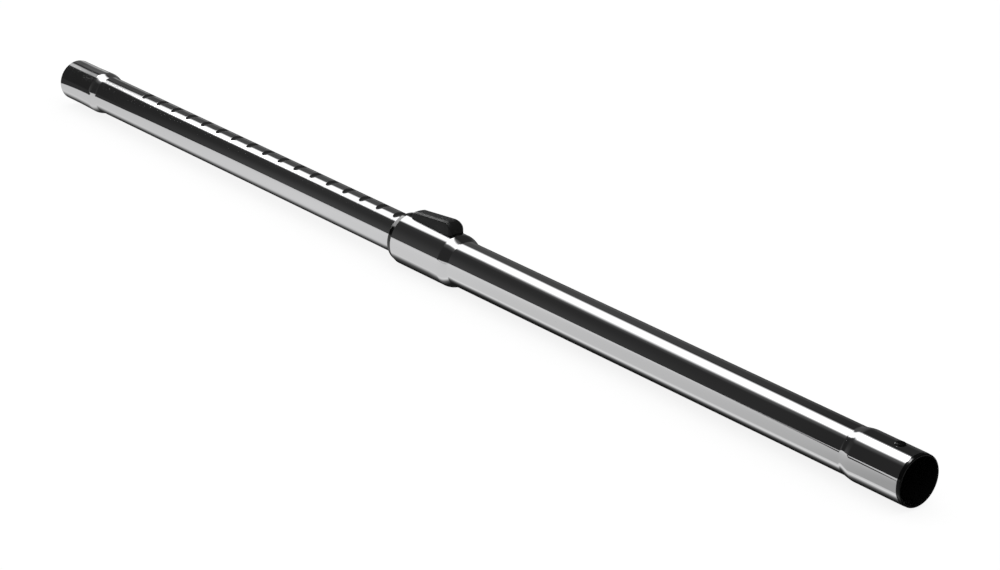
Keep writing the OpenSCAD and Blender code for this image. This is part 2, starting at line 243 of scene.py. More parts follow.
def bright_chrome():
    made, nodes, links, shader = material("bright_chrome")
    shader.inputs["Metallic"].default_value = 1.0
    wipes = object_pattern(nodes, links, (6, 30, 30), 1.0, 4.0)
    drawn = object_pattern(nodes, links, (8, 900, 900), 1.0, 1.0)
    links.new(tint(nodes, links, wipes, (0.86, 0.86, 0.87), (0.90, 0.90, 0.905)),
              shader.inputs["Base Color"])
    links.new(spread(nodes, links, wipes, 0.035, 0.065), shader.inputs["Roughness"])
    bump(nodes, links, shader, drawn, 0.02, 0.00002)
    return made


chrome = bright_chrome()
print("chrome ready")

# %% [markdown]
# The outer tube is one drawn tube. Its end was pushed over a mandrel to make the handle socket,
# and the other end was widened into the collar that holds the bush. Each widening starts with a
# crease where the thin tube ends and runs smoothly into the wide part, which is what makes the
# reflections break there. Rows are packed closely through the widenings only.

# %% Outer tube: outline, wall, slot and nub hole
COLLAR_START_X = MOUTH_X + 56.0
COLLAR_BLEND = 10.0
SOCKET_END_X = 500.0 - 47.4
SOCKET_BLEND = 9.6
FLARE_STEPS = 28


def flare(thin_x, thin_r, thick_x, thick_r):
    """Points from the thin end to the thick end, with a small round instead of a sharp crease."""
    points = []
    for i in range(FLARE_STEPS + 1):
        t = i / FLARE_STEPS
        rise = math.sin(math.pi / 2 * t)
        crease = 0.16
        rise *= t / (t + crease * (1 - t)) if t > 0 else 0
        points.append((thin_x + (thick_x - thin_x) * t, thin_r + (thick_r - thin_r) * rise))
    return points


def outer_outline(inset):
    socket = flare(SOCKET_END_X - SOCKET_BLEND, OUTER_R - inset, SOCKET_END_X, SOCKET_R - inset)
    collar = flare(COLLAR_START_X + COLLAR_BLEND, OUTER_R - inset, COLLAR_START_X,
                   COLLAR_R - inset)
    return [(SOCKET_X, SOCKET_R - inset), *reversed(socket), *collar, (MOUTH_X, COLLAR_R - inset)]


def rounded_end(outline, edge):
    """The outline with a small deburred edge at both ends."""
    (x0, r0), (x1, r1) = outline[0], outline[-1]
    step0, step1 = math.copysign(edge, outline[1][0] - x0), math.copysign(edge, outline[-2][0] - x1)
    start = [(x0, r0 - edge), (x0 + step0 * 0.3, r0 - edge * 0.3), (x0 + step0, r0)]
    end = [(x1 + step1 * 0.2, r1), (x1, r1 - edge * 0.2)]
    return [*start, *outline[1:-1], *end]


def with_rows(outline, longest):
    """Adds rows so that no straight stretch is longer than this."""
    made = [outline[0]]
    for (x0, r0), (x1, r1) in zip(outline, outline[1:]):
        parts = max(1, math.ceil(abs(x1 - x0) / longest))
        made += [(x0 + (x1 - x0) * i / parts, r0 + (r1 - r0) * i / parts)
                 for i in range(1, parts + 1)]
    return made


def make_outer_tube():
    angles = evenly(288)
    outside = with_rows(rounded_end(outer_outline(0), 0.2), 24)
    inside = with_rows(outer_outline(WALL), 24)
    rings = [ring(x, r, angles) for x, r in [*outside, *reversed(inside)]]
    mesh = grid_mesh("outer_tube_wall", rings, close_ends=True)
    turn_outward(mesh)
    slot_end = MOUTH_X + 48.5 - 6
    slot = bmesh.new()
    bmesh.ops.create_cube(slot, size=1.0)
    size = Matrix.Diagonal(((slot_end - MOUTH_X + 10) * MM, 12 * MM, 30 * MM, 1))
    place = Matrix.Translation(Vector(((slot_end + MOUTH_X - 10) / 2, 0, AXIS_Z + 20)) * MM)
    bmesh.ops.transform(slot, matrix=place @ size, verts=slot.verts)
    slot_mesh = bpy.data.meshes.new("slot")
    slot.to_mesh(slot_mesh)
    slot.free()
    cutters = [new_object("slot", slot_mesh),
               cylinder_cutter("slot_end", (slot_end, 0, AXIS_Z + 20), (0, 0, 1), 6, 30),
               cylinder_cutter("nub_hole", (480, 0, AXIS_Z + 20), (0, 0, 1), 4.3, 30)]
    return shaded_object("outer_tube_steel", cut(mesh, cutters, "outer_tube_steel"), 32)


outer_tube = make_outer_tube()
print("outer tube:", triangles(outer_tube.data), "triangles")

# %% [markdown]
# The inner tube carries the rack that the lock drops into: nineteen notches, each pressed across
# the top by a round punch. Pressing pulls the metal in softly, so the rim of a notch is rounded
# and the inside of the wall bulges to match. One length of tube with one notch is made as a grid,
# and a Geometry Nodes tree repeats it at the pitch and joins it to the two plain ends. The number
# and the pitch are inputs of the tree.

# %% One notched length of tube
def soft_min(a, b, round_over):
    """The smaller of two heights, rounded where they cross."""
    h = max(0.0, min(1.0, 0.5 + 0.5 * (b - a) / round_over))
    return b + (a - b) * h - round_over * h * (1 - h)


def pressed_radius(x, angle, radius, punch, round_over):
    """Radius of the tube at a place, where a cross bar of the punch's radius pressed it in."""
    bar_z = INNER_R - NOTCH_DEPTH + PUNCH_R
    reach = punch * punch - x * x
    if reach <= 0 or math.cos(angle) <= 0.5:
        return radius
    low = (bar_z - math.sqrt(reach)) / math.cos(angle)
    return soft_min(radius, low, round_over)


def rack_angles(fine, coarse):
    """Columns around the tube, close together at the top where the notches are."""
    top = math.radians(34)
    middle = [top * (k / fine) for k in range(-fine, fine + 1)]
    rest = 2 * math.pi - 2 * top
    return [a % (2 * math.pi) for a in middle] + [top + rest * k / coarse
                                                  for k in range(1, coarse)]


RACK_ANGLES = rack_angles(18, 64)
RIM_ROWS = (0.0, 0.35, 0.62, 0.82, 0.92, 1.0, 1.07, 1.18, 1.4)
INSIDE_RIM_ROWS = (0.0, 0.5, 0.85, 1.0, 1.15, 1.4)


def rim_reach(angle, radius, punch):
    """Half the notch's length at this angle, kept above zero so that the rows stay apart."""
    bar_z = INNER_R - NOTCH_DEPTH + PUNCH_R
    reach = punch ** 2 - (bar_z - radius * math.cos(angle)) ** 2
    if math.cos(angle) < 0.5:
        reach = 0.0
    return math.sqrt(max(0.0, reach) + 0.36)


def pressed_surface(rim_rows, radius, punch):
    """A grid of points: rows that follow the notch's rim, columns around the tube."""
    half = NOTCH_PITCH / 2
    steps = [-u for u in reversed(rim_rows[1:])] + list(rim_rows)

    def line(place):
        points = []
        for a in RACK_ANGLES:
            x = place(rim_reach(a, radius, punch))
            r = pressed_radius(x, a, radius, punch, 0.22)
            points.append((x * MM, -r * math.sin(a) * MM, (AXIS_Z + r * math.cos(a)) * MM))
        return points

    rows = [line(lambda reach: -half), line(lambda reach: -6.0)]
    rows += [line(lambda reach, u=u: u * reach) for u in steps]
    return rows + [line(lambda reach: 6.0), line(lambda reach: half)]


def make_rack_segment():
    outside = pressed_surface(RIM_ROWS, INNER_R, PUNCH_R)
    inside = pressed_surface(INSIDE_RIM_ROWS, INNER_R - WALL, PUNCH_R + WALL)
    work = bmesh.new()
    for points, flip in ((outside, False), (inside, True)):
        made = [[work.verts.new(p) for p in line] for line in points]
        for line, after in zip(made, made[1:]):
            for k in range(len(line)):
                n = (k + 1) % len(line)
                corners = [line[k], line[n], after[n], after[k]]
                work.faces.new(reversed(corners) if flip else corners)
    mesh = bpy.data.meshes.new("rack_segment")
    work.to_mesh(mesh)
    work.free()
    return new_object("rack_segment", mesh)


rack_segment = make_rack_segment()
print("one notched length:", triangles(rack_segment.data), "triangles")

# %% [markdown]
# The ends are plain turned lengths. The tool end is opened a little to a cone that wedges into
# the floor head, with a short straight lead at its tip. The hidden end has a cross hole for the
# pegs of the two glide shells. Both are made with the same columns as the notched length, so that
# the seams close when the tree merges them.

# %% The inner tube's plain ends
TOOL_LAND, TOOL_TAPER, TOOL_BLEND = 22.0, 21.0, 9.0
RACK_RIGHT_X = LOCK_X + NOTCH_PITCH / 2
RACK_LEFT_X = LOCK_X - (NOTCH_COUNT - 0.5) * NOTCH_PITCH
ROOT_X = TIP_X + TOOL_LAND + TOOL_TAPER


def tool_outline(inset):
    shoulder = flare(ROOT_X + TOOL_BLEND, INNER_R - inset, ROOT_X, TOOL_ROOT_R - inset)
    return [(RACK_LEFT_X, INNER_R - inset), *shoulder, (TIP_X + TOOL_LAND, TOOL_R - inset),
            (TIP_X, TOOL_R - inset)]


def end_mesh(name, outside, inside):
    """A plain end: out along the outside, round the rim, back along the inside; open at the seam."""
    (x, r), before = outside[-1], outside[-2]
    edge = 0.05
    step = math.copysign(edge, before[0] - x)
    rim = [(x + step, r), (x + step * 0.3, r - edge * 0.3), (x, r - edge)]
    outline = with_rows([*outside[:-1], *rim], 20) + with_rows(list(reversed(inside)), 20)
    rings = [ring(px, pr, RACK_ANGLES) for px, pr in outline]
    return grid_mesh(name, rings, close_ends=False)


def make_inner_ends():
    tool = end_mesh("tool_end", tool_outline(0), tool_outline(WALL))
    tail = end_mesh("tail_end", [(RACK_RIGHT_X, INNER_R), (TAIL_X, INNER_R)],
                    [(RACK_RIGHT_X, INNER_R - WALL), (TAIL_X, INNER_R - WALL)])
    work = bmesh.new()
    work.from_mesh(tool)
    work.from_mesh(tail)
    mesh = bpy.data.meshes.new("inner_tube_ends")
    work.to_mesh(mesh)
    work.free()
    return new_object("inner_tube_ends", mesh)


inner_ends = make_inner_ends()
print("plain ends:", triangles(inner_ends.data), "triangles")


# %% The tree that repeats the notched length
def tree_input(tree, name, kind, value=None):
    made = tree.interface.new_socket(name=name, in_out="INPUT", socket_type=kind)
    if value is not None:
        made.default_value = value
    return made


def rack_tree():
    tree = bpy.data.node_groups.new("notch_rack", "GeometryNodeTree")
    tree_input(tree, "Ends", "NodeSocketGeometry")
    tree_input(tree, "Notched length", "NodeSocketObject")
    tree_input(tree, "Notches", "NodeSocketInt", NOTCH_COUNT)
    tree_input(tree, "Pitch", "NodeSocketFloat", NOTCH_PITCH * MM)
    tree_input(tree, "First notch", "NodeSocketFloat", LOCK_X * MM)
    tree_input(tree, "Finish", "NodeSocketMaterial")
    tree.interface.new_socket(name="Tube", in_out="OUTPUT", socket_type="NodeSocketGeometry")
    nodes, links = tree.nodes, tree.links
    given = nodes.new("NodeGroupInput")
    out = nodes.new("NodeGroupOutput")
    start = nodes.new("ShaderNodeCombineXYZ")
    back = nodes.new("ShaderNodeMath")
    back.operation = "MULTIPLY"
    back.inputs[1].default_value = -1.0
    step = nodes.new("ShaderNodeCombineXYZ")
    row = nodes.new("GeometryNodeMeshLine")
    source = nodes.new("GeometryNodeObjectInfo")
    place = nodes.new("GeometryNodeInstanceOnPoints")
    real = nodes.new("GeometryNodeRealizeInstances")
    join = nodes.new("GeometryNodeJoinGeometry")
    weld = nodes.new("GeometryNodeMergeByDistance")
    weld.inputs["Distance"].default_value = 0.00001
    paint = nodes.new("GeometryNodeSetMaterial")
    links.new(given.outputs["First notch"], start.inputs["X"])
    links.new(given.outputs["Pitch"], back.inputs[0])
    links.new(back.outputs[0], step.inputs["X"])
    links.new(given.outputs["Notches"], row.inputs["Count"])
    links.new(start.outputs[0], row.inputs["Start Location"])
    links.new(step.outputs[0], row.inputs["Offset"])
    links.new(given.outputs["Notched length"], source.inputs["Object"])
    links.new(row.outputs["Mesh"], place.inputs["Points"])
    links.new(source.outputs["Geometry"], place.inputs["Instance"])
    links.new(place.outputs["Instances"], join.inputs["Geometry"])
    links.new(given.outputs["Ends"], join.inputs["Geometry"])
    links.new(join.outputs["Geometry"], real.inputs["Geometry"])
    links.new(real.outputs["Geometry"], weld.inputs["Geometry"])
    links.new(weld.outputs["Geometry"], paint.inputs["Geometry"])
    links.new(given.outputs["Finish"], paint.inputs["Material"])
    links.new(paint.outputs["Geometry"], out.inputs["Tube"])
    return tree


def set_input(modifier, name, value):
    """Sets a tree's input by its socket's identifier."""
    for item in modifier.node_group.interface.items_tree:
        if item.item_type == "SOCKET" and item.in_out == "INPUT" and item.name == name:
            modifier[item.identifier] = value


def make_inner_tube():
    step = inner_ends.modifiers.new("rack", "NODES")
    step.node_group = rack_tree()
    set_input(step, "Notched length", rack_segment)
    set_input(step, "Notches", NOTCH_COUNT)
    set_input(step, "Pitch", NOTCH_PITCH * MM)
    set_input(step, "First notch", LOCK_X * MM)
    set_input(step, "Finish", chrome)
    mesh = evaluated_mesh(inner_ends, "inner_tube_whole")
    for used in (inner_ends, rack_segment):
        bpy.data.objects.remove(used)
    turn_outward(mesh)
    peg_x = TAIL_X - 13.5
    holes = cylinder_cutter("peg_holes", (peg_x, 0, AXIS_Z), (0, 1, 0), 2.1, 60, 48)
    return shaded_object("inner_tube_steel", cut(mesh, [holes], "inner_tube_steel"), 50)


inner_tube = make_inner_tube()
print("inner tube:", triangles(inner_tube.data), "triangles")

# %% [markdown]
# The black parts are injection moulded. The thumb slider has a fine spark-eroded grain, which
# makes it matt and keeps fingers from slipping. Its top is painted a lighter dark grey than its
# walls: painted light, for the overhead light that the top catches and the walls do not. The bush
# and the socket liner come out of a polished tool and are glossy. The grain is a fine bump, and
# the gloss changes slightly where the plastic flowed.

# %% Materials: mouldings and rubber
def moulding(name, dark, light, gloss, grain, strength, depth, shine):
    made, nodes, links, shader = material(name)
    shader.inputs["Specular IOR Level"].default_value = shine
    flow = object_pattern(nodes, links, (30, 60, 60), 1.0, 3.0)
    skin = object_pattern(nodes, links, (grain, grain, grain), 1.0, 2.0)
    links.new(tint(nodes, links, flow, dark, light), shader.inputs["Base Color"])
    links.new(spread(nodes, links, flow, *gloss), shader.inputs["Roughness"])
    bump(nodes, links, shader, skin, strength, depth)
    return made


grained_black = moulding("grained_black_moulding", (0.008, 0.008, 0.0082), (0.011, 0.011, 0.0112),
                         (0.28, 0.34), 2600, 0.05, 0.00003, 0.2)
polished_black = moulding("polished_black_moulding", (0.0025, 0.0025, 0.0025),
                          (0.004, 0.004, 0.0042), (0.07, 0.12), 700, 0.04, 0.00002, 0.25)
glide_black = moulding("glide_shell_plastic", (0.012, 0.012, 0.013), (0.020, 0.020, 0.021),
                       (0.35, 0.5), 1500, 0.1, 0.00003, 0.4)
seal_black = moulding("seal_rubber", (0.008, 0.008, 0.008), (0.014, 0.014, 0.013),
                      (0.6, 0.75), 1200, 0.2, 0.00004, 0.3)


def paint_top_light(made, dark, light, at_middle, climb):
    """Paints the moulding lighter above a line that climbs along the wand: painted light for the
    top, which catches the overhead light.
    """
    nodes, links = made.node_tree.nodes, made.node_tree.links
    shader = nodes["Principled BSDF"]
    place = nodes.new("ShaderNodeTexCoord")
    parts = nodes.new("ShaderNodeSeparateXYZ")
    links.new(place.outputs["Object"], parts.inputs[0])
    line = nodes.new("ShaderNodeMath")
    line.operation = "MULTIPLY_ADD"
    line.inputs[1].default_value = -climb
    links.new(parts.outputs["X"], line.inputs[0])
    links.new(parts.outputs["Z"], line.inputs[2])
    lit_top = spread(nodes, links, line.outputs[0], 0.0, 1.0, (at_middle, at_middle + 0.9 * MM))
    top_light_tone = object_pattern(nodes, links, (90, 200, 200), 1.0, 3.0)
    mix = nodes.new("ShaderNodeMix")
    mix.data_type = "RGBA"
    links.new(lit_top, mix.inputs["Factor"])
    links.new(shader.inputs["Base Color"].links[0].from_socket, mix.inputs["A"])
    links.new(tint(nodes, links, top_light_tone, dark, light), mix.inputs["B"])
    links.new(mix.outputs["Result"], shader.inputs["Base Color"])


# Painted light: the slider's top gets a lighter base colour than its walls, in place of the overhead
# light it catches.
paint_top_light(grained_black, (0.022, 0.022, 0.0225), (0.031, 0.031, 0.0315),
            (AXIS_Z + 28.79 - 1.1) * MM, 0.1026)
print("mouldings ready")


# %% [markdown]
# The lock's small metal parts sit under the slider. The cam plate is stamped from bright zinced
# sheet, the lock block is die cast with a slightly grainy skin, and the pin and springs are drawn
# wire. They are rarely seen, yet each keeps its own finish.

# %% Materials: lock parts
def plain_metal(name, dark, light, gloss, stretch, strength):
    made, nodes, links, shader = material(name)
    shader.inputs["Metallic"].default_value = 1.0
    marks = object_pattern(nodes, links, stretch, 1.0, 3.0)
    links.new(tint(nodes, links, marks, dark, light), shader.inputs["Base Color"])
    links.new(spread(nodes, links, marks, *gloss), shader.inputs["Roughness"])
    bump(nodes, links, shader, marks, strength, 0.00003)
    return made


zinced_sheet = plain_metal("zinced_sheet_steel", (0.50, 0.50, 0.50), (0.62, 0.62, 0.60),
                           (0.25, 0.4), (120, 900, 300), 0.1)
cast_zinc = plain_metal("cast_zinc", (0.40, 0.40, 0.41), (0.52, 0.52, 0.53), (0.35, 0.55),
                        (1500, 1500, 1500), 0.2)
drawn_wire = plain_metal("drawn_spring_wire", (0.45, 0.44, 0.42), (0.58, 0.57, 0.55),
                         (0.2, 0.3), (2000, 2000, 2000), 0.1)
print("lock finishes ready")

# %% [markdown]
# The moulded pieces already have their true form in the frame, but their meshes are loose
# triangles. A copy of each is welded and smoothed across its rounded faces, with true edges kept
# crisp, and then stands for the frame's piece.

# %% The moulded pieces, welded and smoothed
def welded_copy(node, name, sharp_above):
    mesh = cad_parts[node].data.copy()
    mesh.name = name
    work = bmesh.new()
    work.from_mesh(mesh)
    bmesh.ops.remove_doubles(work, verts=work.verts, dist=2e-6)
    bmesh.ops.dissolve_degenerate(work, edges=work.edges, dist=1e-7)
    work.to_mesh(mesh)
    work.free()
    if "custom_normal" in mesh.attributes:
        mesh.attributes.remove(mesh.attributes["custom_normal"])
    return shaded_object(name, mesh, sharp_above)


print("copies can be welded")

# %% [markdown]
# The socket liner is a turned shape in plastic: a thin sleeve with a rim that covers the cut steel
# edge, and a round nub that snaps into a hole of the tube. It is drawn as a section with true
# rounds at the corners of the rim, because those rounds are what catches the softbox.

# %% Socket liner with its nub
LINER_R, LINER_BORE_R, STOP_BORE_R, RIM_R = 18.7, 17.6, 16.5, 19.2
RIM_FROM_X, STOP_X = 500 - 2.95, 500 - 43.0
NUB_X, NUB_R, NUB_TOP = 480.0, 4.0, AXIS_Z + 19.35 + 1.4


def filleted(corners, steps=7):
    """An outline of square corners (x, radius, round); each round becomes an arc."""
    points = []
    for i, (x, r, size) in enumerate(corners):
        if not size:
            points.append((x, r))
            continue
        here = Vector((x, r))
        back = (Vector(corners[i - 1][:2]) - here).normalized()
        ahead = (Vector(corners[(i + 1) % len(corners)][:2]) - here).normalized()
        centre = here + (back + ahead) * size
        for k in range(steps + 1):
            turn = math.pi / 2 * k / steps
            point = centre - (ahead * math.cos(turn) + back * math.sin(turn)) * size
            points.append((point.x, point.y))
    return points


def turned_mesh(name, corners, columns):
    outline = filleted(corners)
    outline = with_rows([*outline, outline[0]], 15)[:-1]
    mesh = grid_mesh(name, [ring(x, r, evenly(columns)) for x, r in outline], close_ends=True)
    turn_outward(mesh)
    return mesh


def nub_mesh(bottom, edge, steps=8):
    """A round button standing on the liner, with a rounded top edge and a slightly domed top."""
    profile = [(NUB_R, bottom)]
    profile += [(NUB_R - edge + edge * math.cos(a), NUB_TOP - 0.25 - edge + edge * math.sin(a))
                for a in (math.pi / 2 * k / steps for k in range(steps + 1))]
    profile += [((NUB_R - edge) * (1 - t), NUB_TOP - 0.25 * (1 - t) ** 2) for t in (0.35, 0.7)]
    work = bmesh.new()
    rows = [[work.verts.new(((NUB_X + r * math.cos(a)) * MM, r * math.sin(a) * MM, z * MM))
             for a in evenly(64)] for r, z in profile]
    for line, after in zip(rows, rows[1:]):
        for k in range(64):
            work.faces.new((line[k], line[k - 1], after[k - 1], after[k]))
    work.faces.new(rows[0])
    work.faces.new(rows[-1])
    bmesh.ops.recalc_face_normals(work, faces=work.faces)
    mesh = bpy.data.meshes.new("nub")
    work.to_mesh(mesh)
    work.free()
    return mesh


def join_solids(first, second, name):
    body, tool = new_object("first_solid", first), new_object("second_solid", second)
    step = body.modifiers.new("join", "BOOLEAN")
    step.operation = "UNION"
    step.solver = "EXACT"
    step.object = tool
    made = evaluated_mesh(body, name)
    for used in (body, tool):
        bpy.data.objects.remove(used)
    return made


def make_socket_liner():
    sleeve = turned_mesh("sleeve", (
        (453.6, STOP_BORE_R, 0), (453.6, LINER_R, 0.4), (RIM_FROM_X, LINER_R, 0),
        (RIM_FROM_X, RIM_R, 0.1), (500, RIM_R, 0.75), (500, LINER_BORE_R, 0.6),
        (STOP_X, LINER_BORE_R, 0), (STOP_X, STOP_BORE_R, 0)), 192)
    whole = join_solids(sleeve, nub_mesh(AXIS_Z + 18.2, 1.2), "socket_liner_moulding")
    return shaded_object("socket_liner_moulding", whole, 40)


socket_liner = make_socket_liner()
print("liner:", triangles(socket_liner.data), "triangles")

# %% [markdown]
# The slider is one moulded shell. Its walls lean in slightly so that it leaves the tool, the long
# top edges are slanted flats that catch the light, the top is a little crowned and climbs towards
# the handle, and it ends in a round step that the thumb pushes against. The shape is drawn as cross
# sections along the wand and skinned. A smaller copy of the skin hollows it, the collar's round
# cuts its skirt, and inside it has the rib for the springs and two bosses for the cam plate.

# %% Thumb slider: cross sections
NOSE_X, BROW_X, CREST_X, REAR_X = -27.3, -22.8, 12.3, 20.8
NOSE_H, BROW_H, CREST_H, REAR_H = 24.7, 26.5, 30.05, 20.4
NOSE_W, REAR_W = 6.5, 7.6
LEAN, CROWN, SHELL = math.tan(math.radians(7)), 0.2, 0.9
EDGE_ROUND, EDGE_FLAT, EDGE_TURN = 0.8, 2.2, math.radians(59)


def slider_height(x):
    """Height of the top over the wand's axis."""
    if x < BROW_X:
        t = max(0.0, (x - NOSE_X) / (BROW_X - NOSE_X))
        return NOSE_H + (BROW_H - NOSE_H) * math.sin(math.pi / 2 * t)
    if x < CREST_X:
        return BROW_H + (CREST_H - BROW_H) * (x - BROW_X) / (CREST_X - BROW_X)
    t = min(1.0, (x - CREST_X) / (REAR_X - CREST_X))
    return REAR_H + (CREST_H - REAR_H) * math.sqrt(1 - t * t)


def slider_half_width(x):
    """Half the width at the foot, with a small round at the nose and a large one at the rear."""
    width = NOSE_W + (REAR_W - NOSE_W) * min(1.0, (x - NOSE_X) / (CREST_X - NOSE_X))
    for from_end, corner in ((x - NOSE_X, 0.8), (REAR_X - x, 3.4)):
        if from_end < corner:
            width -= corner * (1 - math.sqrt(max(0.0, 1 - (1 - from_end / corner) ** 2)))
    return width


def slider_section(x, inset, foot):
    """Half the outline is foot, wall, a small round, the slanted flat and the crowned top."""
    top = slider_height(x) - inset
    half = slider_half_width(x) - inset
    size = max(0.1, min(1.0 - inset / 2, 0.25 * (top - 20.0)))
    crown, radius, flat = CROWN * size, EDGE_ROUND * size, EDGE_FLAT * size
    flat_z = top - crown - flat * math.cos(EDGE_TURN)
    edge_z = flat_z - radius * math.sin(EDGE_TURN)
    edge_y = half - LEAN * max(0.0, edge_z - 20.0) - radius
    flat_y = edge_y + radius * math.cos(EDGE_TURN)
    inner_y = flat_y - flat * math.sin(EDGE_TURN)
    near = [(half, foot), (half, min(20.0, edge_z - 0.05))]
    near += [(edge_y + radius * math.cos(a), edge_z + radius * math.sin(a))
             for a in (math.radians(7) + (EDGE_TURN - math.radians(7)) * k / 6 for k in range(7))]
    near += [(inner_y + 0.25 * size, top - crown - 0.12 * size)]
    near += [(inner_y * t, top - crown * t * t) for t in (0.97, 0.75, 0.5, 0.25)]
    outline = [(-y, z) for y, z in near] + [(0.0, top)] + list(reversed(near))
    return [(x * MM, y * MM, (AXIS_Z + z) * MM) for y, z in outline]


def slider_skin(name, inset, foot):
    nose = [NOSE_X + (BROW_X - NOSE_X) * (k / 10) ** 1.3 for k in range(10)]
    top = [BROW_X + (CREST_X - BROW_X) * k / 12 for k in range(12)]
    rear = [CREST_X + (REAR_X - CREST_X) * math.sin(math.pi / 2 * k / 16) for k in range(17)]
    stations = [x for x in nose + top + rear if NOSE_X + inset <= x <= REAR_X - inset]
    work = bmesh.new()
    rows = [[work.verts.new(p) for p in slider_section(x, inset, foot)] for x in stations]
    for line, after in zip(rows, rows[1:]):
        for k in range(len(line)):
            work.faces.new((line[k], line[k - 1], after[k - 1], after[k]))
    work.faces.new(rows[0])
    work.faces.new(rows[-1])
    bmesh.ops.remove_doubles(work, verts=work.verts, dist=1e-6)
    bmesh.ops.recalc_face_normals(work, faces=work.faces)
    mesh = bpy.data.meshes.new(name)
    work.to_mesh(mesh)
    work.free()
    return mesh


def block_mesh(name, low, high):
    work = bmesh.new()
    bmesh.ops.create_cube(work, size=1.0)
    size = [(b - a) * MM for a, b in zip(low, high)]
    centre = [(a + b) / 2 * MM for a, b in zip(low, high)]
    bmesh.ops.transform(work, matrix=Matrix.Translation(centre) @ Matrix.Diagonal((*size, 1)),
                        verts=work.verts)
    mesh = bpy.data.meshes.new(name)
    work.to_mesh(mesh)
    work.free()
    return mesh


# %% Thumb slider: shell, rib and bosses
def make_thumb_slider():
    collar = cylinder_cutter("collar_round", (0, 0, AXIS_Z), (1, 0, 0), COLLAR_R + 0.3, 120, 256)
    hollow = new_object("hollow", slider_skin("hollow", SHELL, 17.0))
    mesh = cut(slider_skin("slider", 0.0, 18.0), [hollow, collar], "slider_shell")
    rib = block_mesh("rib", (-13.6, -4.3, AXIS_Z + 20.65), (-12.1, 4.3, AXIS_Z + 27.0))
    mesh = join_solids(mesh, rib, "slider_shell")
    for x, top in ((-9.8, 27.2), (2.8, 28.5)):
        boss = block_mesh("boss", (x - 1.6, -4.3, AXIS_Z + 25.5), (x + 1.6, 4.3, AXIS_Z + top))
        mesh = join_solids(mesh, boss, "slider_shell")
        stake = cylinder_cutter("stake", (x, 0, AXIS_Z + 25.3), (0, 0, 1), 1.0, 1.8, 32)
        stake_mesh = stake.data
        bpy.data.objects.remove(stake)
        mesh = join_solids(mesh, stake_mesh, "thumb_slider_moulding")
    return shaded_object("thumb_slider_moulding", mesh, 38, flats_first=False)


thumb_slider = make_thumb_slider()
print("slider:", triangles(thumb_slider.data), "triangles")

# %% [markdown]
# The guide bush has pockets for the lock, so its hidden part is kept as it is in the frame. Only
# the rim in front of the collar is seen. It is turned afresh as a slight cone with rounded corners
# and joined to the rest.

# %% Guide bush with its rounded rim
BUSH_RIM_X, BUSH_RIM_R, BUSH_BORE_R = MOUTH_X - 5.5, 20.85, 16.1


def make_guide_bush():
    rest = welded_copy("guide_bush", "bush_rest", 28)
    old_rim = cylinder_cutter("old_rim", (BUSH_RIM_X - 3 + 4.15, 0, AXIS_Z), (1, 0, 0), 25, 8.3, 64)
    mesh = rest.data
    bpy.data.objects.remove(rest)
    rest_mesh = cut(mesh, [old_rim], "bush_rest")
    rim = turned_mesh("rim", (
        (BUSH_RIM_X, BUSH_BORE_R, 0.9), (BUSH_RIM_X, BUSH_RIM_R - 1.15, 0.9),
        (MOUTH_X - 0.05, BUSH_RIM_R, 0.12), (MOUTH_X - 0.05, 19.6, 0), (MOUTH_X + 0.6, 19.6, 0),
        (MOUTH_X + 0.6, BUSH_BORE_R + 0.01, 0)), 192)
    whole = join_solids(rest_mesh, rim, "guide_bush_moulding")
    return shaded_object("guide_bush_moulding", whole, 40)


guide_bush = make_guide_bush()
print("bush:", triangles(guide_bush.data), "triangles")

# %% [markdown]
# The two return springs are wound from round wire and stand side by side between the bush and the
# slider. One coil is a spiral curve given a round section, and a small tree sets it twice. The
# turns, the wire and the distance between the coils are inputs.

# %% Return springs
SPRING_FROM_X, SPRING_TO_X, SPRING_Z = -23.2, -13.8, AXIS_Z + 22.248
SPRING_Y, COIL_R, WIRE_D, COIL_TURNS = 2.4, 1.3, 0.4, 6


